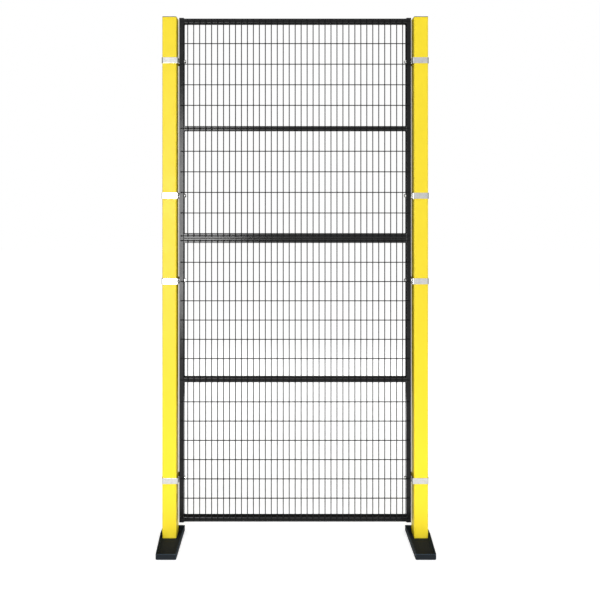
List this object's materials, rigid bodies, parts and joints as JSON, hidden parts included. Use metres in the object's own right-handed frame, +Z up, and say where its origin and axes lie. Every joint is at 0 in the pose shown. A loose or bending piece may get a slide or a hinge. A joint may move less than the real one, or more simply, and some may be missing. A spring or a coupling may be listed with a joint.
{
  "type": "machine guard fence",
  "caption": "Mesh machine guard fence: stacked black welded wire panels in tube frames, strap-clamped between yellow square posts on black tray feet.",
  "frame": {"origin": "on the floor, at the bottom centre of the bounding box, midway between the two posts and midway along the feet", "axes": "+Z up along the posts, +X along the fence from the left post to the right one, +Y from the front, where the mesh and the long toes of the feet are, to the back"},
  "size_m": [1.136, 0.225, 2.2],
  "materials": {
    "post_paint": "smooth semi-gloss yellow powder coat",
    "frame_paint": "fine-grained satin black powder coat",
    "wire_coat": "satin black powder coat over welded wire",
    "foot_paint": "satin black powder coat on folded sheet",
    "black_plastic": "moulded black plastic, finely textured",
    "strap_zinc": "bright zinc-plated steel strip",
    "fastener_zinc": "bright zinc-plated steel",
    "bare_steel": "plain milled steel plate"
  },
  "bodies": {
    "root": {"clamp_bolts": "fastener_zinc", "clamp_nuts": "fastener_zinc", "clamp_washers": "fastener_zinc", "foot_screws": "fastener_zinc", "left_foot": "foot_paint", "left_post": "post_paint", "left_post_base": "bare_steel", "left_post_cap": "black_plastic", "lower_bottom_rail": "frame_paint", "lower_cross_wires": "wire_coat", "lower_left_bottom_strap": "strap_zinc", "lower_left_stile": "frame_paint", "lower_left_stile_plug": "black_plastic", "lower_left_top_strap": "strap_zinc", "lower_mid_rail": "frame_paint", "lower_right_bottom_strap": "strap_zinc", "lower_right_stile": "frame_paint", "lower_right_stile_plug": "black_plastic", "lower_right_top_strap": "strap_zinc", "lower_top_rail": "frame_paint", "lower_upright_wires": "wire_coat", "right_foot": "foot_paint", "right_post": "post_paint", "right_post_base": "bare_steel", "right_post_cap": "black_plastic", "upper_bottom_rail": "frame_paint", "upper_cross_wires": "wire_coat", "upper_left_bottom_strap": "strap_zinc", "upper_left_stile": "frame_paint", "upper_left_stile_plug": "black_plastic", "upper_left_top_strap": "strap_zinc", "upper_mid_rail": "frame_paint", "upper_right_bottom_strap": "strap_zinc", "upper_right_stile": "frame_paint", "upper_right_stile_plug": "black_plastic", "upper_right_top_strap": "strap_zinc", "upper_top_rail": "frame_paint", "upper_upright_wires": "wire_coat"}
  },
  "joints": []
}
